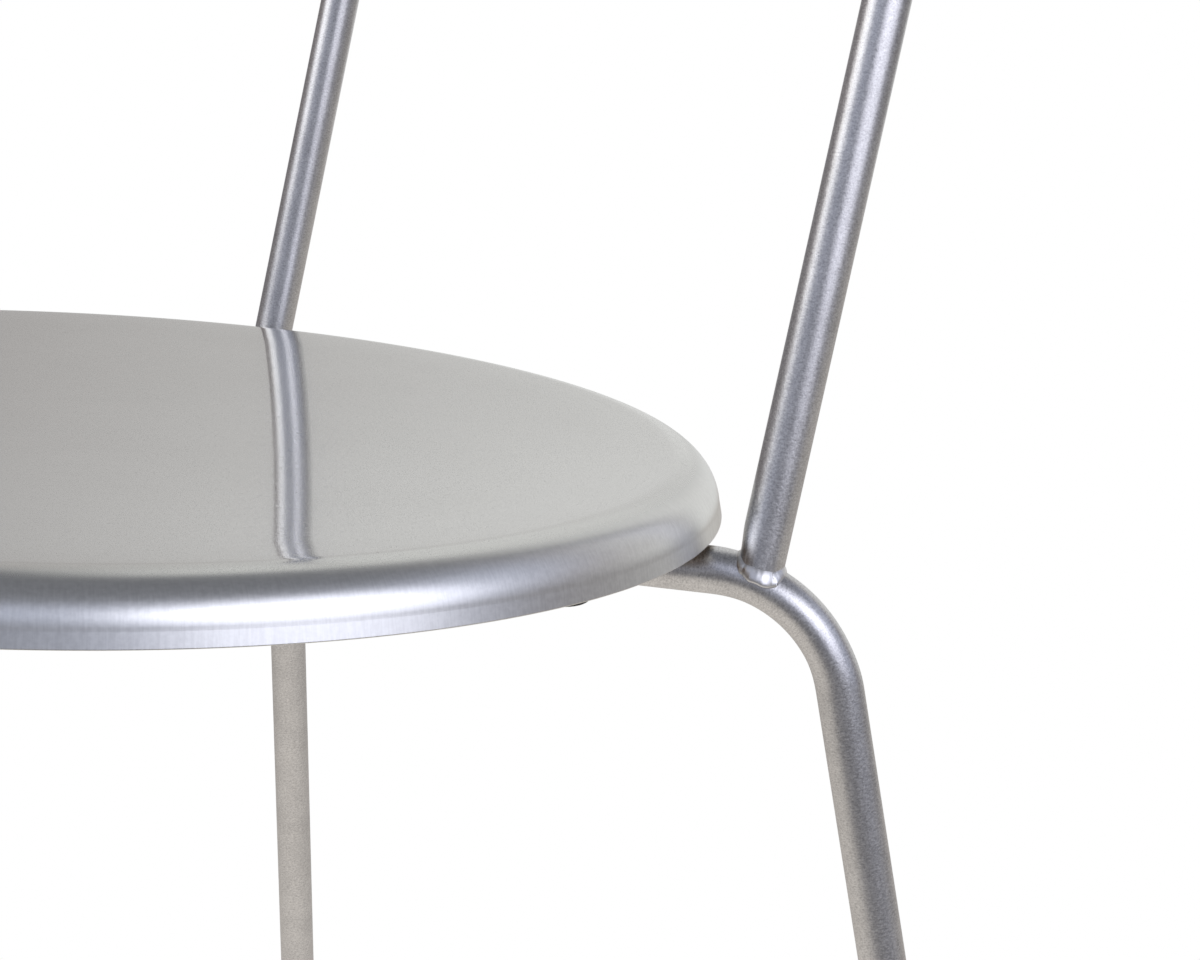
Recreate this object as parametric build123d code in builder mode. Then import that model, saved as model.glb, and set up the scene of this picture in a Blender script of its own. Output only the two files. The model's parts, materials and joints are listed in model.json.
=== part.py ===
"""Round-seated metal chair: dished sheet seat, four splayed tube legs and a tube hoop back.

Millimetres. The origin is on the floor under the seat's centre, +Z is up and +Y points to the
back. Left and right are the sitter's, so left is +X. The legs lie on the two diagonals.
"""
import os
from math import cos, radians, sin, sqrt, tan

from build123d import *

os.makedirs("parts", exist_ok=True)

# Seat: a pressed sheet pan over a moulded core
seat_height = 450.0
seat_diameter = 410.0
sheet = 1.2
shoulder_radius = 14.7
shoulder_sweep = 81.5
skirt_height = 4.3
skirt_flare = 13.5
border_width = 3.4
border_slope = 2.6
dish_slope = 3.72
dish_roll_radius = 870.0
core_setback = 2.5
core_proud = 2.4
core_chamfer = 1.0
bond_line = 0.2

# Legs: a level run under the seat, a bend and a splayed leg, mitred to each other at the centre
tube_diameter = 14.0
tube_wall = 1.5
leg_bend_radius = 41.7
leg_overhang = 32.4
leg_splay = 13.77
centre_weld_throw = 2.5
centre_weld_height = 10.0

# Back hoop: coped on the rear bends, leaning back, with a half-round top
chair_height = 850.0
hoop_setback = 17.7
hoop_lean = 9.81
cope_toe = 2.0
hoop_weld_throw = 1.8

# Foot glides: a stem pressed into the tube and a head cut level with the floor
glide_lip = 1.5
glide_height = 9.0
glide_stem_length = 16.0
glide_stem_lead = 1.2
glide_clearance = 0.1
glide_edge = 1.0

# Stacking buffers under the level runs, each held by the screw that goes up into the core
buffer_inset = 27.4
buffer_diameter = 22.0
buffer_depth = 7.5
buffer_wrap = 3.5
buffer_edge = 3.5
counterbore_clearance = 0.75
screw_diameter = 5.0
screw_grip = 11.0
screw_point = 2.5
screw_clearance = 0.25
screw_head_diameter = 9.5
screw_head_height = 3.2
screw_head_edge = 1.8
screw_head_sink = 1.3
screw_recess_width = 2.6
screw_recess_depth = 1.6
pilot_clearance = 0.05
pilot_run_out = 1.0
washer_diameter = 11.0
washer_thickness = 1.0

# Levels and reaches that follow from the sizes above
seat_radius = seat_diameter / 2
tube_radius = tube_diameter / 2
bore_radius = tube_radius - tube_wall
sweep_angle = radians(shoulder_sweep)
flare = radians(skirt_flare)
rim_level = seat_height - shoulder_radius * (1 - cos(sweep_angle)) - skirt_height
shoulder_reach = seat_radius - skirt_height * tan(flare) - shoulder_radius * sin(sweep_angle)
core_level = rim_level - core_proud
run_level = core_level - tube_radius
core_radius = shoulder_reach - core_setback
core_inset = sheet + bond_line
dish_angle = radians(dish_slope)
border_angle = radians(border_slope)
roll_reach = shoulder_reach - shoulder_radius * sin(border_angle) - border_width * cos(border_angle)
dish_radius = roll_reach - dish_roll_radius * (sin(dish_angle) - sin(border_angle))
dish_curve = dish_radius / sin(dish_angle)
splay = radians(leg_splay)
knee_reach = seat_radius + leg_overhang
bend_reach = knee_reach - leg_bend_radius * tan((radians(90) - splay) / 2)
foot_reach = knee_reach + run_level * tan(splay)
tube_end_reach = foot_reach - glide_height * tan(splay)
lean = radians(hoop_lean)
hoop_half_width = (knee_reach - hoop_setback) / sqrt(2)
hoop_run_reach = knee_reach - hoop_setback - (rim_level - run_level) * tan(lean) / sqrt(2)
hoop_bend_run = max(hoop_run_reach - bend_reach, 0)
hoop_seat_level = run_level - leg_bend_radius + sqrt(leg_bend_radius**2 - hoop_bend_run**2)
hoop_toe = (hoop_seat_level + cope_toe - rim_level) / cos(lean)
hoop_crown = (chair_height - tube_radius - rim_level) / cos(lean)
buffer_reach = core_radius - buffer_inset
buffer_level = run_level - tube_radius - buffer_depth
buffer_top = run_level - tube_radius + buffer_wrap
washer_level = buffer_level + screw_head_sink + screw_head_height
screw_hole_radius = screw_diameter / 2 + screw_clearance

# The four corners, each with the signs of its X and Y
CORNERS = {
    "front_left": (1, -1),
    "front_right": (-1, -1),
    "rear_left": (1, 1),
    "rear_right": (-1, 1),
}
REAR_SIDES = {"left": 1, "right": -1}

# Plane of the hoop at rim level: x runs to the sitter's left, y runs up the lean
hoop_plane = Plane((0, hoop_half_width, rim_level), x_dir=(1, 0, 0), z_dir=(0, -cos(lean), sin(lean)))


def diagonal_plane(corner):
    """Upright plane through the seat's axis and one corner: x runs outward, y runs up."""
    outward = Vector(*CORNERS[corner]).normalized()
    return Plane((0, 0, 0), x_dir=outward, z_dir=outward.cross(Vector(0, 0, 1)))


def buffer_axis(corner, level):
    """Point on the screw axis of one buffer."""
    return diagonal_plane(corner).from_local_coords(Vector(buffer_reach, level))


def shoulder_line(inset):
    """Rounded shoulder of the seat, inset under the show face, from the skirt up to the border."""
    return CenterArc(
        (shoulder_reach, seat_height - shoulder_radius),
        shoulder_radius - inset,
        90 - shoulder_sweep,
        shoulder_sweep + border_slope,
    )


def crown_line(shoulder, inset):
    """Upper line of the seat inside its shoulder: sloping border, roll and dish to the axis."""
    border = PolarLine(shoulder @ 1, border_width, 180 + border_slope)
    roll = JernArc(border @ 1, border % 1, dish_roll_radius - inset, dish_slope - border_slope)
    return JernArc(roll @ 1, roll % 1, dish_curve + inset, -dish_slope)


def pan_line(inset):
    """One face of the pan: flared skirt, shoulder and crown. Gives its two ends."""
    shoulder = shoulder_line(inset)
    skirt = Line((seat_radius - inset / cos(flare), rim_level), shoulder @ 0)
    dish = crown_line(shoulder, inset)
    return skirt @ 0, dish @ 1


def leg_sweep(corner, outer_radius, inner_radius=0):
    """Tube or rod along one leg, from just past the seat's axis down to the glide."""
    with BuildPart() as swept:
        with BuildLine(diagonal_plane(corner)) as path:
            FilletPolyline(
                (-tube_diameter, run_level),
                (knee_reach, run_level),
                (tube_end_reach, glide_height),
                radius=leg_bend_radius,
            )
        with BuildSketch(Plane(path.line @ 0, z_dir=path.line % 0)):
            Circle(outer_radius)
            if inner_radius > 0:
                Circle(inner_radius, mode=Mode.SUBTRACT)
        sweep(path=path.line)
    return swept.part


def upright_rod(side, radius, start):
    """Solid rod along the foot of one upright, from a given height on the hoop's plane."""
    foot = hoop_plane.from_local_coords(Vector(REAR_SIDES[side] * hoop_half_width, start))
    with BuildPart() as rod:
        with BuildSketch(Plane(foot, z_dir=hoop_plane.y_dir)):
            Circle(radius)
        extrude(amount=2 * tube_diameter)
    return rod.part


def write(builder, name):
    """Label one finished piece and write it."""
    builder.part.label = name
    export_step(builder.part, f"parts/{name}.step")


# Seat pan
with BuildPart() as seat_pan:
    with BuildSketch(Plane.XZ):
        with BuildLine():
            show_edge, show_centre = pan_line(0)
            back_edge, back_centre = pan_line(sheet)
            Line(show_edge, back_edge)
            Line(show_centre, back_centre)
        make_face()
    revolve(axis=Axis.Z)
write(seat_pan, "seat_pan")

# Seat core, bonded under the crown and drilled for the four screws
with BuildPart() as seat_core:
    with BuildSketch(Plane.XZ):
        with BuildLine():
            core_shoulder = shoulder_line(core_inset)
            core_dish = crown_line(core_shoulder, core_inset)
            core_edge = (core_shoulder @ 0).X
            Polyline(core_dish @ 1, (0, core_level), (core_edge, core_level), core_shoulder @ 0)
        make_face()
        Rectangle(core_radius, seat_height, align=(Align.MIN, Align.MIN), mode=Mode.INTERSECT)
    revolve(axis=Axis.Z)
    chamfer(seat_core.edges().group_by(Axis.Z)[0], core_chamfer)
    with Locations([buffer_axis(corner, core_level) for corner in CORNERS]):
        Cylinder(
            screw_diameter / 2 + pilot_clearance,
            screw_grip + pilot_run_out,
            align=(Align.CENTER, Align.CENTER, Align.MIN),
            mode=Mode.SUBTRACT,
        )
write(seat_core, "seat_core")

# Legs, mitred on the two centre planes and drilled for their screws
for corner, (sign_x, sign_y) in CORNERS.items():
    leg_tube = leg_sweep(corner, tube_radius, bore_radius)
    with BuildPart() as leg:
        add(leg_tube)
        split(bisect_by=Plane((0, 0, 0), z_dir=(sign_x, 0, 0)))
        split(bisect_by=Plane((0, 0, 0), z_dir=(0, sign_y, 0)))
        with Locations(buffer_axis(corner, run_level)):
            Cylinder(screw_hole_radius, 2 * tube_diameter, mode=Mode.SUBTRACT)
    write(leg, f"leg_{corner}")

leg_rods = {corner: leg_sweep(corner, tube_radius) for corner in CORNERS}

# Weld beads in the four corners between the runs
run_directions = [diagonal_plane(corner).x_dir for corner in ("rear_left", "rear_right")]
with BuildPart() as centre_welds:
    with Locations((0, 0, run_level)):
        Cylinder(tube_radius * sqrt(2) + centre_weld_throw, centre_weld_height)
    for direction in run_directions:
        with BuildSketch(Plane((0, 0, run_level), z_dir=direction)):
            Circle(tube_radius + centre_weld_throw)
        extrude(amount=2 * tube_diameter, both=True, mode=Mode.INTERSECT)
    for direction in run_directions:
        with BuildSketch(Plane((0, 0, run_level), z_dir=direction)):
            Circle(tube_radius)
        extrude(amount=2 * tube_diameter, both=True, mode=Mode.SUBTRACT)
write(centre_welds, "centre_welds")

# Back hoop
with BuildPart() as back_hoop:
    with BuildLine(hoop_plane) as hoop_path:
        arch_level = hoop_crown - hoop_half_width
        Line((-hoop_half_width, hoop_toe), (-hoop_half_width, arch_level))
        CenterArc((0, arch_level), hoop_half_width, 180, -180)
        Line((hoop_half_width, arch_level), (hoop_half_width, hoop_toe))
    with BuildSketch(Plane(hoop_path.line @ 0, z_dir=hoop_path.line % 0)):
        Circle(tube_radius)
        Circle(bore_radius, mode=Mode.SUBTRACT)
    sweep(path=hoop_path.line)
    add([leg_rods[f"rear_{side}"] for side in REAR_SIDES], mode=Mode.SUBTRACT)
write(back_hoop, "back_hoop")

# Weld beads round the feet of the hoop
for side in REAR_SIDES:
    upright = upright_rod(side, tube_radius, hoop_toe)
    upright_bead = upright_rod(side, tube_radius + hoop_weld_throw, hoop_toe - hoop_weld_throw)
    leg_bead = leg_sweep(f"rear_{side}", tube_radius + hoop_weld_throw)
    with BuildPart() as hoop_weld:
        add(upright_bead)
        add(leg_bead, mode=Mode.INTERSECT)
        add([upright, leg_rods[f"rear_{side}"]], mode=Mode.SUBTRACT)
    write(hoop_weld, f"hoop_weld_{side}")

# Foot glides
glide_radius = tube_radius + glide_lip
stem_radius = bore_radius - glide_clearance
head_length = glide_height / cos(splay) + 2 * glide_radius * tan(splay)
for corner in CORNERS:
    leg_plane = diagonal_plane(corner)
    tube_end = leg_plane.from_local_coords(Vector(tube_end_reach, glide_height))
    across = leg_plane.x_dir * cos(splay) + leg_plane.y_dir * sin(splay)
    glide_plane = Plane(tube_end, x_dir=across, z_dir=leg_plane.z_dir)
    with BuildPart() as glide:
        with BuildSketch(glide_plane):
            with BuildLine():
                Polyline(
                    (0, glide_stem_length),
                    (stem_radius - glide_stem_lead, glide_stem_length),
                    (stem_radius, glide_stem_length - glide_stem_lead),
                    (stem_radius, 0),
                    (glide_radius, 0),
                    (glide_radius, -head_length),
                    (0, -head_length),
                    close=True,
                )
            make_face()
        revolve(axis=Axis(tube_end, glide_plane.y_dir))
        split(bisect_by=Plane.XY)
        chamfer(glide.faces().sort_by(Axis.Z)[0].edges(), glide_edge)
    write(glide, f"glide_{corner}")

# Stacking buffers, saddled to the runs
for corner in CORNERS:
    with BuildPart() as buffer:
        with BuildSketch(Plane(buffer_axis(corner, buffer_level))):
            Circle(buffer_diameter / 2)
        extrude(amount=buffer_top - buffer_level)
        fillet(buffer.edges().group_by(Axis.Z)[0], buffer_edge)
        add(leg_rods[corner], mode=Mode.SUBTRACT)
        with Locations(buffer_axis(corner, buffer_level)):
            Cylinder(
                washer_diameter / 2 + counterbore_clearance,
                screw_head_sink + screw_head_height + washer_thickness,
                align=(Align.CENTER, Align.CENTER, Align.MIN),
                mode=Mode.SUBTRACT,
            )
            Cylinder(screw_hole_radius, 2 * (buffer_top - buffer_level), mode=Mode.SUBTRACT)
    write(buffer, f"buffer_{corner}")

# Washers and screws, one of each in every buffer
with BuildPart() as seat_washers:
    for corner in CORNERS:
        with BuildSketch(Plane(buffer_axis(corner, washer_level))):
            Circle(washer_diameter / 2)
            Circle(screw_hole_radius, mode=Mode.SUBTRACT)
        extrude(amount=washer_thickness)
write(seat_washers, "seat_washers")

shank_radius = screw_diameter / 2
head_radius = screw_head_diameter / 2
shank_length = core_level + screw_grip - washer_level
with BuildPart() as seat_screws:
    for corner in CORNERS:
        head_seat = buffer_axis(corner, washer_level)
        with BuildSketch(Plane(head_seat, x_dir=(1, 0, 0), z_dir=(0, -1, 0))):
            with BuildLine():
                head_side = Line((head_radius, 0), (head_radius, screw_head_edge - screw_head_height))
                head_edge = JernArc(head_side @ 1, (0, -1), screw_head_edge, -90)
                Polyline(
                    head_edge @ 1,
                    (0, -screw_head_height),
                    (0, shank_length),
                    (shank_radius, shank_length - screw_point),
                    (shank_radius, 0),
                    head_side @ 0,
                )
            make_face()
        revolve(axis=Axis(head_seat, (0, 0, 1)))
        with BuildSketch(Plane(buffer_axis(corner, washer_level - screw_head_height))):
            RegularPolygon(screw_recess_width / 2, 6, major_radius=False)
        extrude(amount=screw_recess_depth, mode=Mode.SUBTRACT)
write(seat_screws, "seat_screws")
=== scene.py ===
"""Looks of a round-seated metal chair: finishes, weld beads, studio light and the photograph's camera."""
import json
from math import cos, exp, pi, radians, sin, sqrt, tan

import bmesh
import bpy
from mathutils import Matrix, Vector, noise


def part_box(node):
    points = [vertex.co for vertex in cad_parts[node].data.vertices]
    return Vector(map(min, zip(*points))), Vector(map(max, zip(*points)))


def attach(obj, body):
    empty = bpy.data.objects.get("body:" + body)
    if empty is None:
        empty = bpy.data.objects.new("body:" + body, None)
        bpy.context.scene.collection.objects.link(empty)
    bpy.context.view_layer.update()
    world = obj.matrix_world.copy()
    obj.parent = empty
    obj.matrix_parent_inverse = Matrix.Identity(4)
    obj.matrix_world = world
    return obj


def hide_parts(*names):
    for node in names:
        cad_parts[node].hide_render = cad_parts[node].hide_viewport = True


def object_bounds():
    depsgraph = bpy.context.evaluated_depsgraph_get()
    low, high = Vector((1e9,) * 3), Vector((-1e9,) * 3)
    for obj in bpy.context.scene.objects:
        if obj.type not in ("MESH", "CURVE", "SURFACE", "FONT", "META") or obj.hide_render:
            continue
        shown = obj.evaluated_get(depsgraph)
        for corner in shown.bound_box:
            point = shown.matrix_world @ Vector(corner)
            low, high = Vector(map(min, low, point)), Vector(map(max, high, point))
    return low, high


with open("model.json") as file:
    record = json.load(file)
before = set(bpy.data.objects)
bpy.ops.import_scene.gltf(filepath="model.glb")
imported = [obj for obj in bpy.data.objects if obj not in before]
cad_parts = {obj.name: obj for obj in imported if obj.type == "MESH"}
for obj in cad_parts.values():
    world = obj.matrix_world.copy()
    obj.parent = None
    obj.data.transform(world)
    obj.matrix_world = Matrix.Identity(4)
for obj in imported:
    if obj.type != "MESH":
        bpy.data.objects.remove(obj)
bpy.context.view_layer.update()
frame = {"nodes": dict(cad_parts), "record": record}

NODES = frame["nodes"]
UP = Vector((0, 0, 1))
CORNERS = {
    "front_left": (1, -1),
    "front_right": (-1, -1),
    "rear_left": (1, 1),
    "rear_right": (-1, 1),
}
REAR_SIDES = {"left": 1, "right": -1}

# Sizes of the chair in metres, as in the part
TUBE_RADIUS = 0.007
SEAT_RADIUS = 0.205
SEAT_HEIGHT = 0.450
SHEET = 0.0012
SHOULDER_RADIUS = 0.0147
SHOULDER_SWEEP = radians(81.5)
SKIRT_HEIGHT = 0.0043
SKIRT_FLARE = radians(13.5)
BORDER_WIDTH = 0.0034
BORDER_SLOPE = radians(2.6)
DISH_SLOPE = radians(3.72)
DISH_ROLL_RADIUS = 0.870
LEG_OVERHANG = 0.0324
LEG_BEND_RADIUS = 0.0417
LEG_SPLAY = radians(13.77)
GLIDE_HEIGHT = 0.009
HOOP_SETBACK = 0.0177
HOOP_LEAN = radians(9.81)
RIM_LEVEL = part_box("seat_pan")[0].z
RUN_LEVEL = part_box("leg_rear_left")[1].z - TUBE_RADIUS
KNEE_REACH = SEAT_RADIUS + LEG_OVERHANG
LEG_TURN = pi / 2 - LEG_SPLAY
BEND_REACH = KNEE_REACH - LEG_BEND_RADIUS * tan(LEG_TURN / 2)
TUBE_END_REACH = KNEE_REACH + (RUN_LEVEL - GLIDE_HEIGHT) * tan(LEG_SPLAY)
HOOP_HALF_WIDTH = (KNEE_REACH - HOOP_SETBACK) / sqrt(2)
HOOP_CROWN = (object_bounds()[1].z - TUBE_RADIUS - RIM_LEVEL) / cos(HOOP_LEAN)

# Middle of the hoop at the rim's level, and the hoop's own directions
HOOP_ORIGIN = Vector((0, HOOP_HALF_WIDTH, RIM_LEVEL))
HOOP_UP = Vector((0, sin(HOOP_LEAN), cos(HOOP_LEAN)))
HOOP_AHEAD = Vector((0, -cos(HOOP_LEAN), sin(HOOP_LEAN)))
HOOP_ACROSS = Vector((1, 0, 0))

# Camera of the photograph, in metres and degrees, with its lens in millimetres
CAMERA_PLACE = Vector((0.7333, -0.3118, 0.6030))
CAMERA_YAW = radians(54.819)
CAMERA_PITCH = radians(11.781)
CAMERA_ROLL = radians(-4.172)
CAMERA_LENS = 79.13
SENSOR_WIDTH = 36.0
NEAREST_SEEN = 0.01

# Directions on the floor as the camera sees them: straight away, and to the right
AWAY = Vector((-sin(CAMERA_YAW), cos(CAMERA_YAW), 0))
RIGHT = Vector((cos(CAMERA_YAW), sin(CAMERA_YAW), 0))


def smooth(t):
    """Soft step from 0 to 1."""
    t = min(max(t, 0.0), 1.0)
    return t * t * (3 - 2 * t)


def full_turn(steps):
    """Angles of one full turn in even steps."""
    return [2 * pi * step / steps for step in range(steps)]


# Results of a soft step, the range that most of a noise lies in, and the usual detail of a noise
RISING = (0.0, 1.0)
FALLING = (1.0, 0.0)
NOISE_SPAN = (0.3, 0.7)
NOISE_DETAIL = 3.0
NOISE_ROUGHNESS = 0.6


def node(tree, kind, inputs=None, **settings):
    """New shader node with its settings, and its inputs given as values or as sockets to link."""
    made = tree.nodes.new(kind)
    for name, value in settings.items():
        setattr(made, name, value)
    for name, value in (inputs or {}).items():
        if isinstance(value, bpy.types.NodeSocket):
            tree.links.new(value, made.inputs[name])
        else:
            made.inputs[name].default_value = value
    return made


def calc(tree, operation, first, second=0.0):
    """Result of one math node."""
    return node(tree, "ShaderNodeMath", {0: first, 1: second}, operation=operation).outputs[0]


def product(tree, value, *others):
    """Value multiplied by each of the others."""
    for other in others:
        value = calc(tree, "MULTIPLY", value, other)
    return value


def remap(tree, value, span, result):
    """Value brought smoothly from one range to another."""
    limits = {
        "Value": value,
        "From Min": span[0],
        "From Max": span[1],
        "To Min": result[0],
        "To Max": result[1],
    }
    return node(tree, "ShaderNodeMapRange", limits, interpolation_type="SMOOTHSTEP").outputs[0]


def mix_values(tree, share, first, second):
    """Two numbers mixed, with the second one's share."""
    return node(tree, "ShaderNodeMix", {0: share, 2: first, 3: second}).outputs[0]


def mix_colours(tree, share, first, second):
    """Two colours mixed, with the second one's share. Each is a socket or three numbers."""
    inputs = {"Fac": share}
    for name, colour in (("Color1", first), ("Color2", second)):
        inputs[name] = colour if isinstance(colour, bpy.types.NodeSocket) else (*colour, 1)
    return node(tree, "ShaderNodeMixRGB", inputs).outputs[0]


def own_place(tree):
    """Coordinates in the chair's frame."""
    return node(tree, "ShaderNodeTexCoord").outputs["Object"]


def length(tree, vector):
    return node(tree, "ShaderNodeVectorMath", {0: vector}, operation="LENGTH").outputs["Value"]


def noise_value(tree, vector, scale, detail=NOISE_DETAIL):
    inputs = {"Vector": vector, "Scale": scale, "Detail": detail, "Roughness": NOISE_ROUGHNESS}
    return node(tree, "ShaderNodeTexNoise", inputs).outputs["Fac"]


def stretched_noise(tree, vector, scales, detail=NOISE_DETAIL):
    """Noise with a scale of its own along each axis."""
    stretched = node(tree, "ShaderNodeMapping", {"Vector": vector, "Scale": scales}).outputs[0]
    return noise_value(tree, stretched, 1.0, detail)


def tint(tree, value, dull, bright, span=NOISE_SPAN):
    """Colour ramp over a value, from dull to bright."""
    ramp = node(tree, "ShaderNodeValToRGB", {"Fac": value})
    for element, position, colour in zip(ramp.color_ramp.elements, span, (dull, bright)):
        element.position = position
        element.color = (*colour, 1)
    return ramp.outputs["Color"]


def bump(tree, height, depth, below=None):
    """Direction of a surface with a relief of some depth in metres, on top of the relief below it."""
    inputs = {"Height": height, "Distance": depth, "Strength": 1.0}
    if below is not None:
        inputs["Normal"] = below
    return node(tree, "ShaderNodeBump", inputs).outputs["Normal"]


def new_material(name, **sockets):
    """Principled material with the sockets that are the same all over the surface."""
    material = bpy.data.materials.new(name)
    material.use_nodes = True
    shader = material.node_tree.nodes["Principled BSDF"]
    for socket, value in sockets.items():
        shader.inputs[socket.replace("_", " ")].default_value = value
    return material, material.node_tree, shader


def wire(tree, shader, **sockets):
    """Links node results to the material's sockets."""
    for socket, value in sockets.items():
        tree.links.new(value, shader.inputs[socket.replace("_", " ")])


def wire_grain(tree, shader, grain, dull, bright, roughness, relief):
    """Lets colour, roughness and relief all follow one grain."""
    wire(
        tree,
        shader,
        Base_Color=tint(tree, grain, dull, bright),
        Roughness=remap(tree, grain, NOISE_SPAN, roughness),
        Normal=bump(tree, grain, relief),
    )


# Tube finish: strokes across and along the tube, grain and clouds, each per metre
TUBE_MAP = "tube"
TUBE_STROKES = (850, 1700, 1)
TUBE_GRAIN = 2100.0
TUBE_DETAIL = 1.0
TUBE_CLOUDS = 90.0
TUBE_GRAIN_SHARE = 0.5
TUBE_CLOUD_SHARE = 0.2
TUBE_TONES = (0.37, 0.63)
TUBE_DULL = (0.48, 0.48, 0.485)
TUBE_BRIGHT = (0.78, 0.78, 0.78)
TUBE_ROUGHNESS = (0.29, 0.37)
TUBE_RELIEF = 0.000025


def satin_tube_steel():
    """Tube polished round and round: short cross strokes, fine grain and faint cloudiness."""
    material, tree, shader = new_material("tube_steel", Metallic=1.0)
    along_tube = node(tree, "ShaderNodeUVMap", uv_map=TUBE_MAP).outputs[0]
    place = own_place(tree)
    strokes = stretched_noise(tree, along_tube, TUBE_STROKES, TUBE_DETAIL)
    grain = noise_value(tree, place, TUBE_GRAIN, TUBE_DETAIL)
    clouds = noise_value(tree, place, TUBE_CLOUDS)
    mottle = mix_values(tree, TUBE_GRAIN_SHARE, strokes, grain)
    tone = mix_values(tree, TUBE_CLOUD_SHARE, mottle, clouds)
    wire(
        tree,
        shader,
        Base_Color=tint(tree, tone, TUBE_DULL, TUBE_BRIGHT, TUBE_TONES),
        Roughness=remap(tree, strokes, NOISE_SPAN, TUBE_ROUGHNESS),
        Normal=bump(tree, grain, TUBE_RELIEF, bump(tree, strokes, TUBE_RELIEF)),
    )
    return material


# Seat face: fine haze, rolling lines in one direction, soft clouds of colour and a few shallow pits
SHEET_ANISOTROPY = 0.2
SHEET_CLOUDS = 14.0
SHEET_DULL = (0.628, 0.632, 0.617)
SHEET_BRIGHT = (0.657, 0.661, 0.647)
HAZE = 3200.0
HAZE_DETAIL = 1.0
HAZE_SPAN = (0.50, 0.62)
FACE_ROUGHNESS = (0.055, 0.34)
ROLLING_TURN = radians(-55)
ROLLING = (60, 500, 1)
ROLLING_SPAN = (0.25, 0.75)
ROLLING_SHADES = (0.992, 1.008)
ROLLING_RELIEF = 0.000004
PITS_PER_METRE = 24.0
PIT_SIZE = (0.006, 0.013)
PIT_SHADE = 0.25

# Seat rim: reaches where its finish starts and is full, its two sets of strokes, and a faint ring inside it
RIM_FINISH = (0.1905, 0.1975)
RIM_BRIGHT = (0.1945, 0.2000)
RIM_TUMBLING = (150, 560, 1)
TUMBLING_DETAIL = 1.5
RIM_BRUSHING = (260, 110, 1)
BRUSHING_DETAIL = 1.0
STROKE_SPAN = (0.65, 1.35)
STROKE_SHADES = (1.14, 1.28)
RIM_ROUGHNESS = (0.29, 0.315)
RIM_RELIEF = 0.000004
RING_REACH = 0.1925
RING_BLUR = (0.0001, 0.0012)
RING_SHADE = 0.018


def rim_strokes(tree, axes, reach):
    """Tumbling and brushing of the rim, laid out by the angle round the seat and the way down the rim."""
    angle = calc(tree, "ARCTAN2", axes[1], axes[0])
    down_rim = calc(tree, "SUBTRACT", axes[2], reach)
    field = node(tree, "ShaderNodeCombineXYZ", {0: angle, 1: down_rim}).outputs[0]
    tumbling = stretched_noise(tree, field, RIM_TUMBLING, TUMBLING_DETAIL)
    brushing = stretched_noise(tree, field, RIM_BRUSHING, BRUSHING_DETAIL)
    return tumbling, brushing


def rolling_lines(tree, place):
    """Faint lines that the rolling mill leaves along the sheet."""
    turned = node(tree, "ShaderNodeMapping", {"Vector": place, "Rotation": (0, 0, ROLLING_TURN)})
    return stretched_noise(tree, turned.outputs[0], ROLLING)


def seat_marks(tree, level, reach, on_rim):
    """Shade of the pits in the face and of the ring inside the rim."""
    inputs = {"Vector": level, "Scale": PITS_PER_METRE}
    cells = node(tree, "ShaderNodeTexVoronoi", inputs, voronoi_dimensions="2D").outputs["Distance"]
    pits = calc(tree, "SUBTRACT", remap(tree, cells, PIT_SIZE, FALLING), on_rim)
    off_ring = calc(tree, "ABSOLUTE", calc(tree, "SUBTRACT", reach, RING_REACH))
    ring = remap(tree, off_ring, RING_BLUR, FALLING)
    return calc(tree, "MAXIMUM", product(tree, pits, PIT_SHADE), product(tree, ring, RING_SHADE))


def seat_sheet_steel():
    """Rolled sheet with a bright hazy face and a rougher rim of fine strokes."""
    material, tree, shader = new_material("seat_steel", Metallic=1.0, Anisotropic=SHEET_ANISOTROPY)
    place = own_place(tree)
    axes = node(tree, "ShaderNodeSeparateXYZ", {0: place}).outputs
    level = node(tree, "ShaderNodeCombineXYZ", {0: axes[0], 1: axes[1]}).outputs[0]
    reach = length(tree, level)
    on_rim = remap(tree, reach, RIM_FINISH, RISING)
    tumbling, brushing = rim_strokes(tree, axes, reach)
    rolling = rolling_lines(tree, place)

    haze = noise_value(tree, place, HAZE, HAZE_DETAIL)
    face_roughness = remap(tree, haze, HAZE_SPAN, FACE_ROUGHNESS)
    rim_roughness = remap(tree, tumbling, NOISE_SPAN, RIM_ROUGHNESS)
    rim_relief = bump(tree, product(tree, tumbling, on_rim), RIM_RELIEF)

    face_shade = remap(tree, rolling, ROLLING_SPAN, ROLLING_SHADES)
    rim_shade = remap(tree, calc(tree, "ADD", tumbling, brushing), STROKE_SPAN, STROKE_SHADES)
    shade = mix_values(tree, remap(tree, reach, RIM_BRIGHT, RISING), face_shade, rim_shade)
    unmarked = calc(tree, "SUBTRACT", 1.0, seat_marks(tree, level, reach, on_rim))
    sheet = tint(tree, noise_value(tree, place, SHEET_CLOUDS), SHEET_DULL, SHEET_BRIGHT)
    shaded = {0: sheet, "Scale": product(tree, shade, unmarked)}
    wire(
        tree,
        shader,
        Base_Color=node(tree, "ShaderNodeVectorMath", shaded, operation="SCALE").outputs["Vector"],
        Roughness=mix_values(tree, on_rim, face_roughness, rim_roughness),
        Normal=bump(tree, rolling, ROLLING_RELIEF, rim_relief),
        Tangent=node(tree, "ShaderNodeTangent", direction_type="RADIAL", axis="Z").outputs[0],
    )
    return material


# Weld metal: ripples per metre of its skin, colours, roughness and depth of the ripples
WELD_SKIN = 900.0
WELD_DULL = (0.70, 0.70, 0.70)
WELD_BRIGHT = (0.85, 0.85, 0.84)
WELD_ROUGHNESS = (0.32, 0.42)
WELD_RELIEF = 0.00005


def weld_bead_steel():
    """Bright weld metal with a fine rippled skin."""
    material, tree, shader = new_material("weld_steel", Metallic=1.0)
    skin = noise_value(tree, own_place(tree), WELD_SKIN)
    wire_grain(tree, shader, skin, WELD_DULL, WELD_BRIGHT, WELD_ROUGHNESS, WELD_RELIEF)
    return material


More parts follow.
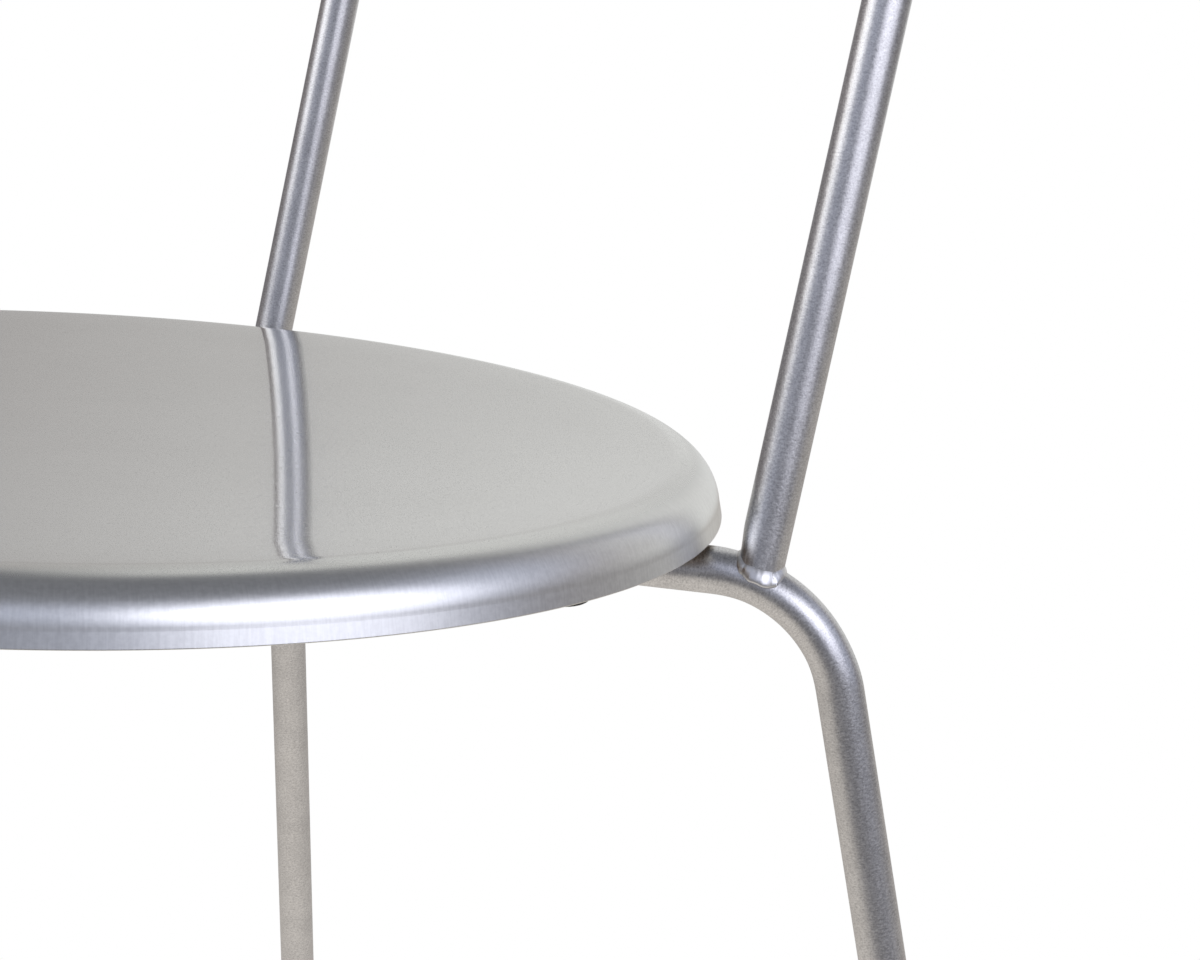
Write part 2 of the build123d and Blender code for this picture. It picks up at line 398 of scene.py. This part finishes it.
# Screw plating
PLATING = 700.0
PLATING_DULL = (0.58, 0.59, 0.60)
PLATING_BRIGHT = (0.68, 0.68, 0.67)
PLATING_ROUGHNESS = (0.25, 0.38)
PLATING_RELIEF = 0.00001


def plated_screw_steel():
    """Zinc-plated steel with a fine uneven sheen."""
    material, tree, shader = new_material("screw_steel", Metallic=1.0)
    plating = noise_value(tree, own_place(tree), PLATING)
    wire_grain(tree, shader, plating, PLATING_DULL, PLATING_BRIGHT, PLATING_ROUGHNESS, PLATING_RELIEF)
    return material


# Board of the seat core
BOARD_GRAIN = (260, 14, 260)
BOARD_DETAIL = 5.0
BOARD_DULL = (0.30, 0.19, 0.10)
BOARD_BRIGHT = (0.45, 0.31, 0.18)
BOARD_ROUGHNESS = (0.55, 0.75)
BOARD_RELIEF = 0.0001


def core_board():
    """Board with fine grain along Y."""
    material, tree, shader = new_material("core_board")
    grain = stretched_noise(tree, own_place(tree), BOARD_GRAIN, BOARD_DETAIL)
    wire_grain(tree, shader, grain, BOARD_DULL, BOARD_BRIGHT, BOARD_ROUGHNESS, BOARD_RELIEF)
    return material


POLYMER_ROUGHNESS = (0.5, 0.7)


def black_polymer(name, grain_scale, relief, dull, bright):
    """Black rubber or plastic with a moulded grain."""
    material, tree, shader = new_material(name)
    grain = noise_value(tree, own_place(tree), grain_scale)
    wire_grain(tree, shader, grain, dull, bright, POLYMER_ROUGHNESS, relief)
    return material


def buffer_rubber():
    dull, bright = (0.012, 0.012, 0.013), (0.024, 0.024, 0.025)
    return black_polymer("buffer_rubber", grain_scale=900.0, relief=0.00008, dull=dull, bright=bright)


def glide_plastic():
    dull, bright = (0.020, 0.020, 0.021), (0.034, 0.034, 0.034)
    return black_polymer("glide_plastic", grain_scale=1500.0, relief=0.00003, dull=dull, bright=bright)


MATERIALS = {
    "seat_steel": seat_sheet_steel(),
    "tube_steel": satin_tube_steel(),
    "weld_steel": weld_bead_steel(),
    "screw_steel": plated_screw_steel(),
    "core_board": core_board(),
    "buffer_rubber": buffer_rubber(),
    "glide_plastic": glide_plastic(),
}


def dress_cad_nodes():
    """Gives each node of the part the finish of its slot."""
    for subpart in frame["record"]["subparts"]:
        mesh = NODES[subpart["node"]].data
        mesh.materials.clear()
        mesh.materials.append(MATERIALS[subpart["material_slot"]])


def new_piece(name, made, slot):
    """Object from finished mesh data, with the finish of its slot."""
    bmesh.ops.recalc_face_normals(made, faces=made.faces)
    mesh = bpy.data.meshes.new(name)
    made.to_mesh(mesh)
    made.free()
    mesh.materials.append(MATERIALS[slot])
    piece = bpy.data.objects.new(name, mesh)
    bpy.context.scene.collection.objects.link(piece)
    return piece


def mesh_piece(name, rings, slot, replaced, uv_rows=None, closed=False):
    """Skin over rings of points, closed end to end or capped, that stands for one node of the part."""
    made = bmesh.new()
    rows = [[made.verts.new(point) for point in ring] for ring in rings]
    uv_layer = made.loops.layers.uv.new(TUBE_MAP)
    count = len(rows[0])
    pairs = len(rows) if closed else len(rows) - 1
    for i in range(pairs):
        upper, lower = rows[i], rows[(i + 1) % len(rows)]
        for j in range(count):
            k = (j + 1) % count
            face = made.faces.new((upper[j], upper[k], lower[k], lower[j]))
            face.smooth = True
            if uv_rows:
                corners = ((i, j), (i, j + 1), (i + 1, j + 1), (i + 1, j))
                for loop, (row, column) in zip(face.loops, corners):
                    loop[uv_layer].uv = (column / count * 2 * pi * TUBE_RADIUS, uv_rows[row])
    if not closed:
        for row in (rows[0], rows[-1]):
            for edge in made.faces.new(row).edges:
                edge.smooth = False
    piece = new_piece(name, made, slot)
    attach(piece, "root")
    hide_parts(replaced)
    return piece


def path_lengths(points):
    """Length along a path at each of its points."""
    lengths = [0.0]
    for earlier, later in zip(points, points[1:]):
        lengths.append(lengths[-1] + (later - earlier).length)
    return lengths


# Tube meshes, and the bends' flattening with the share of a bend over which it comes in
TUBE_SIDES = 72
BEND_STEPS = 40
ARCH_STEPS = 120
BEND_FLATTENING = 0.05
BEND_WIDENING = 0.025
FLATTENING_SHARE = 0.25


def outward(corner):
    """Level direction from the chair's middle to a corner."""
    return Vector((*CORNERS[corner], 0)).normalized()


def leg_stations():
    """Centre line of a leg in its upright plane: reach, height, turn from level, and flattening."""
    stations = [(0.0, RUN_LEVEL, 0.0, 0.0), (BEND_REACH, RUN_LEVEL, 0.0, 0.0)]
    for step in range(1, BEND_STEPS + 1):
        share = step / BEND_STEPS
        turn = LEG_TURN * step / BEND_STEPS
        reach = BEND_REACH + LEG_BEND_RADIUS * sin(turn)
        height = RUN_LEVEL - LEG_BEND_RADIUS * (1 - cos(turn))
        flat = smooth(min(share, 1 - share) / FLATTENING_SHARE)
        stations.append((reach, height, turn, flat))
    stations.append((TUBE_END_REACH, GLIDE_HEIGHT, LEG_TURN, 0.0))
    return stations


def add_leg(corner):
    """Leg tube, mitred where the four runs meet under the seat."""
    out = outward(corner)
    side = out.cross(UP)
    rings = []
    centres = []
    for index, (reach, height, turn, flat) in enumerate(leg_stations()):
        upper = UP * cos(turn) + out * sin(turn)
        centre = out * reach + UP * height
        centres.append(centre)
        tall = TUBE_RADIUS * (1 - BEND_FLATTENING * flat)
        wide = TUBE_RADIUS * (1 + BEND_WIDENING * flat)
        ring = [
            centre + upper * (tall * cos(angle)) + side * (wide * sin(angle))
            for angle in full_turn(TUBE_SIDES)
        ]
        if index == 0:
            ring = [point + out * abs((point - centre).dot(side)) for point in ring]
        rings.append(ring)
    return mesh_piece(f"leg_tube_{corner}", rings, "tube_steel", f"leg_{corner}", path_lengths(centres))


# Shallow dent in each upright's foot, at an angle from the sitter's left round to the front
FOOT_PINCH = 0.0006
FOOT_PINCH_ANGLE = radians(132)
FOOT_PINCH_RISE = 0.009
FOOT_PINCH_STEPS = 8
FOOT_PINCH_POWER = 6

# Search down an upright's surface for the leg, and the most that the weld dips below its highest point
FOOT_SEARCH_TOP = 0.012
FOOT_SEARCH_STEP = 0.00005
FOOT_SEARCH_STEPS = 600
WELD_DEPTH = 0.0056


def leg_gap(point, corner):
    """Distance from a point to one leg's surface, near its run and bend, and the surface's direction."""
    out = outward(corner)
    side = out.cross(UP)
    reach, aside = point.dot(out), point.dot(side)
    centre = Vector((min(reach, BEND_REACH), RUN_LEVEL - LEG_BEND_RADIUS))
    spoke = Vector((reach, point.z)) - centre
    if reach < BEND_REACH:
        spoke = Vector((0, point.z - centre.y))
    line_gap = spoke.length - LEG_BEND_RADIUS
    spoke.normalize()
    off_line = (out * spoke.x + UP * spoke.y) * line_gap + side * aside
    return off_line.length - TUBE_RADIUS, off_line.normalized()


def on_side(side, angle):
    """Angle round an upright's axis, mirrored for the right upright."""
    return angle if REAR_SIDES[side] > 0 else pi - angle


def off_axis(angle):
    """Direction from an upright's axis at an angle round it."""
    return HOOP_ACROSS * cos(angle) + HOOP_AHEAD * sin(angle)


def foot_radius(side, angle, rise):
    """Radius of an upright near its foot, which is pinched on the side towards the seat."""
    facing = max(cos(angle - on_side(side, FOOT_PINCH_ANGLE)), 0.0) ** FOOT_PINCH_POWER
    return TUBE_RADIUS - FOOT_PINCH * facing * (1 - smooth(rise / FOOT_PINCH_RISE))


def upright_base(side):
    """Point on an upright's axis at the rim's level."""
    return HOOP_ORIGIN + HOOP_ACROSS * (REAR_SIDES[side] * HOOP_HALF_WIDTH)


def foot_point(side, angle):
    """Point where a line down an upright's surface meets the leg, with both surfaces' directions."""
    from_axis = off_axis(angle)
    start = upright_base(side) + from_axis * foot_radius(side, angle, 0.0)
    steps = [FOOT_SEARCH_TOP - FOOT_SEARCH_STEP * step for step in range(FOOT_SEARCH_STEPS)]
    gaps = [leg_gap(start + HOOP_UP * step, f"rear_{side}")[0] for step in steps]
    met = [step for step, gap in zip(steps, gaps) if gap <= 0]
    height = met[0] if met else steps[gaps.index(min(gaps))]
    point = start + HOOP_UP * height
    return point, from_axis, leg_gap(point, f"rear_{side}")[1]


def weld_path(side, angles):
    """Middle of the weld round an upright's foot: the crease, with its lowest stretches filled up."""
    feet = [foot_point(side, angle) for angle in angles]
    crown = max(point.dot(HOOP_UP) for point, _, _ in feet)
    path = []
    for point, from_upright, from_leg in feet:
        depth = crown - point.dot(HOOP_UP)
        filled = depth - WELD_DEPTH * (1 - exp(-depth / WELD_DEPTH))
        path.append((point + HOOP_UP * filled, from_upright, from_leg))
    return path


def hoop_foot(side, angles):
    """Rings of one foot of the hoop from the weld up, with their centres."""
    base = upright_base(side)
    rings = [[place for place, _, _ in weld_path(side, angles)]]
    crown = max((place - base).dot(HOOP_UP) for place in rings[0])
    centres = [base + HOOP_UP * crown]
    for step in range(1, FOOT_PINCH_STEPS + 1):
        rise = FOOT_PINCH_RISE * step / FOOT_PINCH_STEPS
        centre = base + HOOP_UP * (crown + rise)
        centres.append(centre)
        rings.append([centre + off_axis(angle) * foot_radius(side, angle, rise) for angle in angles])
    return rings, centres


def hoop_arch(angles):
    """Rings of the hoop's half-round top from right to left, with their centres."""
    foot_of_arch = HOOP_CROWN - HOOP_HALF_WIDTH
    rings = []
    centres = []
    for step in range(ARCH_STEPS + 1):
        turn = pi * step / ARCH_STEPS
        aside = -HOOP_HALF_WIDTH * cos(turn)
        rise = foot_of_arch + HOOP_HALF_WIDTH * sin(turn)
        centre = HOOP_ORIGIN + HOOP_ACROSS * aside + HOOP_UP * rise
        inward = HOOP_ACROSS * cos(turn) - HOOP_UP * sin(turn)
        centres.append(centre)
        rings.append([centre + (inward * cos(a) + HOOP_AHEAD * sin(a)) * TUBE_RADIUS for a in angles])
    return rings, centres


def add_hoop():
    """Hoop tube from the right foot over the top to the left foot."""
    angles = full_turn(TUBE_SIDES)
    right_rings, right_centres = hoop_foot("right", angles)
    arch_rings, arch_centres = hoop_arch(angles)
    left_rings, left_centres = hoop_foot("left", [pi - angle for angle in angles])
    rings = right_rings + arch_rings + left_rings[::-1]
    centres = right_centres + arch_centres + left_centres[::-1]
    return mesh_piece("hoop_tube", rings, "tube_steel", "back_hoop", path_lengths(centres))


# Seat mesh, the rounding of the pan's lower edge, and rows of points that keep the skirt straight above it
SEAT_STEPS = 360
SHOULDER_STEPS = 28
ROLL_STEPS = 16
DISH_STEPS = 40
LIP_STEPS = 4
LIP_ROUND = 0.0003
SKIRT_ROWS = (1.25 * LIP_ROUND, SKIRT_HEIGHT - 0.5 * LIP_ROUND)


def arc_points(centre, radius, start, end, steps):
    """Points on an arc in the upright plane of a revolved outline."""
    points = []
    for step in range(steps + 1):
        turn = start + (end - start) * step / steps
        points.append((centre[0] + radius * cos(turn), centre[1] + radius * sin(turn)))
    return points


def lip_points(inset):
    """Lower edge of one face of the pan, rounded on the show side."""
    edge = SEAT_RADIUS - inset / cos(SKIRT_FLARE)
    if inset > 0:
        return [(edge, RIM_LEVEL)]
    points = []
    for step in range(LIP_STEPS + 1):
        turn = pi / 2 * step / LIP_STEPS
        rise = LIP_ROUND * (1 - cos(turn))
        points.append((edge - LIP_ROUND * (1 - sin(turn)) - rise * tan(SKIRT_FLARE), RIM_LEVEL + rise))
    for rise in SKIRT_ROWS:
        points.append((edge - rise * tan(SKIRT_FLARE), RIM_LEVEL + rise))
    return points


def pan_outline(inset):
    """One face of the pan from its lower edge to its axis, as reach and height."""
    top = SEAT_HEIGHT - inset
    shoulder = SHOULDER_RADIUS - inset
    roll_radius = DISH_ROLL_RADIUS - inset
    neck_reach = SEAT_RADIUS - SKIRT_HEIGHT * tan(SKIRT_FLARE)
    shoulder_reach = neck_reach - SHOULDER_RADIUS * sin(SHOULDER_SWEEP)
    neck_turn = pi / 2 - SHOULDER_SWEEP
    border_turn = pi / 2 + BORDER_SLOPE
    dish_turn = pi / 2 + DISH_SLOPE
    curve = arc_points((shoulder_reach, top - shoulder), shoulder, neck_turn, border_turn, SHOULDER_STEPS)
    roll_reach = curve[-1][0] - BORDER_WIDTH * cos(BORDER_SLOPE)
    roll_height = curve[-1][1] - BORDER_WIDTH * sin(BORDER_SLOPE)
    roll_centre = (
        roll_reach + roll_radius * sin(BORDER_SLOPE),
        roll_height - roll_radius * cos(BORDER_SLOPE),
    )
    roll = arc_points(roll_centre, roll_radius, border_turn, dish_turn, ROLL_STEPS)
    dish_radius = roll[-1][0] / sin(DISH_SLOPE)
    dish_centre = (0, roll[-1][1] + dish_radius * cos(DISH_SLOPE))
    dish = arc_points(dish_centre, dish_radius, DISH_SLOPE - pi / 2, -pi / 2, DISH_STEPS)
    return lip_points(inset) + curve + roll + dish[1:-1], dish[-1][1]


def add_seat():
    """Pan as one closed sheet, with sharp edges at its lower rim and a pole in the middle of each face."""
    made = bmesh.new()
    upper, upper_middle = pan_outline(0)
    lower, lower_middle = pan_outline(SHEET)
    outline = list(reversed(upper)) + lower
    turns = full_turn(SEAT_STEPS)
    rows = [[made.verts.new((r * cos(t), r * sin(t), z)) for t in turns] for r, z in outline]
    edge_row = len(upper) - 1
    for i in range(len(rows) - 1):
        for j in range(SEAT_STEPS):
            k = (j + 1) % SEAT_STEPS
            face = made.faces.new((rows[i][j], rows[i + 1][j], rows[i + 1][k], rows[i][k]))
            face.smooth = True
    for row in (edge_row, edge_row + 1):
        for j in range(SEAT_STEPS):
            made.edges.get((rows[row][j], rows[row][(j + 1) % SEAT_STEPS])).smooth = False
    for row, middle in ((rows[0], upper_middle), (rows[-1], lower_middle)):
        pole = made.verts.new((0, 0, middle))
        for j in range(SEAT_STEPS):
            made.faces.new((row[j], row[(j + 1) % SEAT_STEPS], pole)).smooth = True
    piece = new_piece("seat_sheet", made, "seat_steel")
    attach(piece, "root")
    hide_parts("seat_pan")
    return piece


# Weld beads round the hoop's feet, with a lump on the outer side
BEAD_STEPS = 240
BEAD_SIDES = 24
BEAD_WIDTH = 0.0014
BEAD_HEIGHT = 0.0005
BEAD_ROOT = 0.0018
BEAD_RIPPLE = 0.00002
BEAD_RIPPLES = 27
BEAD_WANDER = 0.0005
WANDER_SCALE = 350
LUMP_ANGLE = radians(28)
LUMP_SPAN = radians(75)
LUMP_WIDTH = 0.0016
LUMP_HEIGHT = 0.0004
LUMP_DROP = 0.0005
LUMP_TURN = 0.5
LUMP_LIFT = 0.45


def bead_ring(point, middle, flank, width, height):
    """Section through a bead: a rounded face on a deeper root."""
    ring = []
    for turn in full_turn(BEAD_SIDES):
        reach = height if cos(turn) > 0 else BEAD_ROOT
        ring.append(point + middle * (reach * cos(turn)) + flank * (width * sin(turn)))
    return ring


def add_hoop_weld(side):
    """Narrow uneven bead that fills the crease at an upright's foot and swells on the outer side."""
    angles = full_turn(BEAD_STEPS)
    path = weld_path(side, angles)
    rings = []
    for index, angle in enumerate(angles):
        point, from_upright, from_leg = path[index]
        along = (path[(index + 1) % BEAD_STEPS][0] - path[index - 1][0]).normalized()
        apart = abs((angle - on_side(side, LUMP_ANGLE) + pi) % (2 * pi) - pi)
        lump = smooth(1 - apart / LUMP_SPAN)
        middle = (from_upright * (1 - LUMP_TURN * lump) + from_leg).normalized()
        middle += HOOP_UP * (LUMP_LIFT * lump)
        flank = along.cross(middle).normalized()
        middle = flank.cross(along).normalized()
        wander = noise.noise(point * WANDER_SCALE) * BEAD_WANDER
        ripple = BEAD_RIPPLE * sin(BEAD_RIPPLES * angle)
        width = BEAD_WIDTH + LUMP_WIDTH * lump + wander + ripple
        height = BEAD_HEIGHT + LUMP_HEIGHT * lump + ripple
        rings.append(bead_ring(point - HOOP_UP * (LUMP_DROP * lump), middle, flank, width, height))
    return mesh_piece(f"hoop_bead_{side}", rings, "weld_steel", f"hoop_weld_{side}", closed=True)


# Paper floor: its edges along AWAY and RIGHT, and its own colour
PAPER_FRONT = -0.65
PAPER_BACK = 3.5
PAPER_LEFT = -1.2
PAPER_RIGHT = 3.2
PAPER_COLOUR = (0.80, 0.77, 0.725)
PAPER_ROUGHNESS = 0.9

# Glow of the paper: white to the camera except round the shadow, and, as the metal shows it, a painted
# light on the paper that pools brighter near the chair
WHITE = (1, 1, 1)
WHITE_STRENGTH = 1.0
SHADOW_EDGE = (0.36, 0.60)
SHADOW_WHITE = (0.55, 1.0)
PAPER_IN_METAL = (0.755, 0.705, 0.645)
METAL_SHARE = 0.75
# Painted pool of light in the paper's glow as the metal shows it: reach from the middle, and its strength
# there
PAINTED_POOL_REACH = (0.0, 1.2)
PAINTED_POOL_STRENGTH = (1.2, 0.8)


def paper():
    """Pale paper that keeps the shadow, is white further out, and shows the metal a painted glow that is
    brighter near the chair.
    """
    material, tree, shader = new_material("floor", Roughness=PAPER_ROUGHNESS, Specular_IOR_Level=0.0)
    shader.inputs["Base Color"].default_value = (*PAPER_COLOUR, 1)
    reach = length(tree, own_place(tree))
    rays = node(tree, "ShaderNodeLightPath").outputs
    seen = rays["Is Camera Ray"]
    camera_share = product(tree, remap(tree, reach, SHADOW_EDGE, SHADOW_WHITE), seen)
    metal_share = product(tree, rays["Is Glossy Ray"], METAL_SHARE)
    # Painted pool of light: the paper's glow in the metal is strongest near the chair and weaker further
    # out
    painted_pool = remap(tree, reach, PAINTED_POOL_REACH, PAINTED_POOL_STRENGTH)
    glow = {
        "Color": mix_colours(tree, seen, PAPER_IN_METAL, WHITE),
        "Strength": mix_values(tree, seen, painted_pool, WHITE_STRENGTH),
    }
    light = node(tree, "ShaderNodeEmission", glow)
    mixed = node(tree, "ShaderNodeMixShader", {0: calc(tree, "ADD", camera_share, metal_share)})
    tree.links.new(shader.outputs[0], mixed.inputs[1])
    tree.links.new(light.outputs[0], mixed.inputs[2])
    tree.links.new(mixed.outputs[0], tree.nodes["Material Output"].inputs["Surface"])
    return material


def add_floor():
    """Level sheet of paper that the chair stands on."""
    front, back = AWAY * PAPER_FRONT, AWAY * PAPER_BACK
    left, right = RIGHT * PAPER_LEFT, RIGHT * PAPER_RIGHT
    mesh = bpy.data.meshes.new("floor")
    mesh.from_pydata([front + left, front + right, back + right, back + left], [], [(0, 1, 2, 3)])
    mesh.materials.append(paper())
    floor = bpy.data.objects.new("floor", mesh)
    bpy.context.scene.collection.objects.link(floor)


# Backdrop beyond the chair. Azimuths turn from AWAY to RIGHT, and a pair of angles is a soft edge's span.
# The backdrop's foot rises towards the right.
BACKDROP_COLOUR = (0.83, 0.83, 0.82)
BACKDROP_LEFT = (radians(-31), radians(4))
BACKDROP_RIGHT = (radians(40), radians(80))
BACKDROP_TOP = (radians(60), radians(82))
BACKDROP_SHOULDER = 0.80
BACKDROP_DIP = 0.17
BACKDROP_DIP_START = (radians(6), radians(17))
BACKDROP_DIP_END = (radians(18), radians(26))
BACKDROP_FOOT_TURN = (radians(20), radians(50))
BACKDROP_FOOT_RISE = (radians(-40), radians(-2))
BACKDROP_FOOT_BLUR = (radians(-6), radians(8))

# Room: bluish behind the camera, dim at the sides, with a dark floor and ceiling
ROOM_COLOUR = (0.50, 0.53, 0.655)
ROOM_SIDE_COLOUR = (0.285, 0.252, 0.25)
ROOM_FLOOR_COLOUR = (0.21, 0.205, 0.215)
CEILING_COLOUR = (0.176, 0.18, 0.20)
ROOM_LEFT = (radians(-110), radians(-85))
ROOM_RIGHT = (radians(58), radians(82))
ROOM_RIGHT_LEVEL = radians(25)
ROOM_RIGHT_SLANT = 0.9
WALL_FOOT = (radians(-8), radians(18))
WALL_TOP = (radians(35), radians(60))

# Dark place straight behind the camera, as the camera and its stand make it
CAMERA_STAND_TURN = (radians(150), radians(174))
CAMERA_STAND_FOOT = (radians(4), radians(10))
CAMERA_STAND_TOP = (radians(14), radians(24))
CAMERA_STAND_SHADE = 0.65


def backdrop_share(tree, azimuth, elevation):
    """How much of a direction the bright backdrop fills, with a faint level dip across it."""
    aside = product(tree, calc(tree, "ABSOLUTE", azimuth), BACKDROP_SHOULDER)
    foot_level = remap(tree, azimuth, BACKDROP_FOOT_TURN, BACKDROP_FOOT_RISE)
    dip = product(
        tree,
        remap(tree, elevation, BACKDROP_DIP_START, (0.0, BACKDROP_DIP)),
        remap(tree, elevation, BACKDROP_DIP_END, FALLING),
    )
    return product(
        tree,
        remap(tree, azimuth, BACKDROP_LEFT, RISING),
        remap(tree, azimuth, BACKDROP_RIGHT, FALLING),
        remap(tree, calc(tree, "ADD", elevation, aside), BACKDROP_TOP, FALLING),
        remap(tree, calc(tree, "SUBTRACT", elevation, foot_level), BACKDROP_FOOT_BLUR, RISING),
        calc(tree, "SUBTRACT", 1.0, dip),
    )


def room_colour(tree, azimuth, elevation):
    """Colour of the room in a direction away from the backdrop."""
    above = product(tree, calc(tree, "SUBTRACT", elevation, ROOM_RIGHT_LEVEL), ROOM_RIGHT_SLANT)
    past_left = remap(tree, azimuth, ROOM_LEFT, FALLING)
    past_right = remap(tree, calc(tree, "ADD", azimuth, above), ROOM_RIGHT, RISING)
    behind = calc(tree, "MAXIMUM", past_left, past_right)
    stand = product(
        tree,
        remap(tree, calc(tree, "ABSOLUTE", azimuth), CAMERA_STAND_TURN, (0.0, CAMERA_STAND_SHADE)),
        remap(tree, elevation, CAMERA_STAND_FOOT, RISING),
        remap(tree, elevation, CAMERA_STAND_TOP, FALLING),
    )
    colour = mix_colours(tree, behind, ROOM_SIDE_COLOUR, ROOM_COLOUR)
    colour = mix_colours(tree, stand, colour, CEILING_COLOUR)
    colour = mix_colours(tree, remap(tree, elevation, WALL_FOOT, RISING), ROOM_FLOOR_COLOUR, colour)
    return mix_colours(tree, remap(tree, elevation, WALL_TOP, RISING), colour, CEILING_COLOUR)


def add_world():
    """White to the camera; to the metal, a bright backdrop beyond the chair in a dim room."""
    world = bpy.data.worlds.new("studio")
    world.use_nodes = True
    bpy.context.scene.world = world
    tree = world.node_tree
    direction = node(tree, "ShaderNodeTexCoord").outputs["Generated"]

    def along(axis):
        inputs = {0: direction, 1: axis}
        return node(tree, "ShaderNodeVectorMath", inputs, operation="DOT_PRODUCT").outputs["Value"]

    azimuth = calc(tree, "ARCTAN2", along(RIGHT), along(AWAY))
    elevation = calc(tree, "ARCSINE", along(UP))
    room = room_colour(tree, azimuth, elevation)
    studio = mix_colours(tree, backdrop_share(tree, azimuth, elevation), room, BACKDROP_COLOUR)
    seen = node(tree, "ShaderNodeLightPath").outputs["Is Camera Ray"]
    tree.links.new(mix_colours(tree, seen, studio, WHITE), tree.nodes["Background"].inputs["Color"])


def add_softbox(name, away, right, height, width, rise, radiance, colour):
    """Oval softbox at a place given along the camera's directions, facing the seat's middle."""
    data = bpy.data.lights.new(name, "AREA")
    data.shape = "ELLIPSE"
    data.size = width
    data.size_y = rise
    area = pi * width * rise / 4
    data.energy = radiance * pi * area
    data.color = colour
    lamp = bpy.data.objects.new(name, data)
    lamp.location = AWAY * away + RIGHT * right + UP * height
    lamp.rotation_euler = (UP * RIM_LEVEL - lamp.location).to_track_quat("-Z", "Y").to_euler()
    lamp.visible_camera = False
    bpy.context.scene.collection.objects.link(lamp)


def add_lamps():
    """Key softbox to the right, a smaller one above it, and a large one to the left."""
    add_softbox(
        "key_softbox", away=-0.41, right=0.465, height=0.660, width=0.61, rise=0.44,
        radiance=1.02, colour=(0.95, 0.95, 1.08),
    )
    add_softbox(
        "upper_softbox", away=-0.60, right=0.62, height=0.820, width=0.56, rise=0.22,
        radiance=1.10, colour=(1.0, 0.98, 0.95),
    )
    add_softbox(
        "side_softbox", away=-0.30, right=-1.13, height=1.13, width=1.22, rise=1.04,
        radiance=1.58, colour=(1.0, 0.985, 0.97),
    )


def add_camera():
    """Camera at the photograph's place, turned by its yaw, pitch and roll."""
    data = bpy.data.cameras.new("photo_camera")
    data.lens = CAMERA_LENS
    data.sensor_width = SENSOR_WIDTH
    data.clip_start = NEAREST_SEEN
    forward = AWAY * cos(CAMERA_PITCH) - UP * sin(CAMERA_PITCH)
    down = forward.cross(RIGHT)
    image_x = RIGHT * cos(CAMERA_ROLL) + down * sin(CAMERA_ROLL)
    image_y = down * cos(CAMERA_ROLL) - RIGHT * sin(CAMERA_ROLL)
    turn = Matrix((image_x, -image_y, -forward)).transposed().to_4x4()
    camera = bpy.data.objects.new("photo_camera", data)
    camera.matrix_world = Matrix.Translation(CAMERA_PLACE) @ turn
    bpy.context.scene.collection.objects.link(camera)
    bpy.context.scene.camera = camera


dress_cad_nodes()
for corner in CORNERS:
    add_leg(corner)
add_hoop()
add_seat()
for side in REAR_SIDES:
    add_hoop_weld(side)

add_floor()
add_world()
add_lamps()
add_camera()

bpy.context.scene.view_settings.view_transform = "Standard"
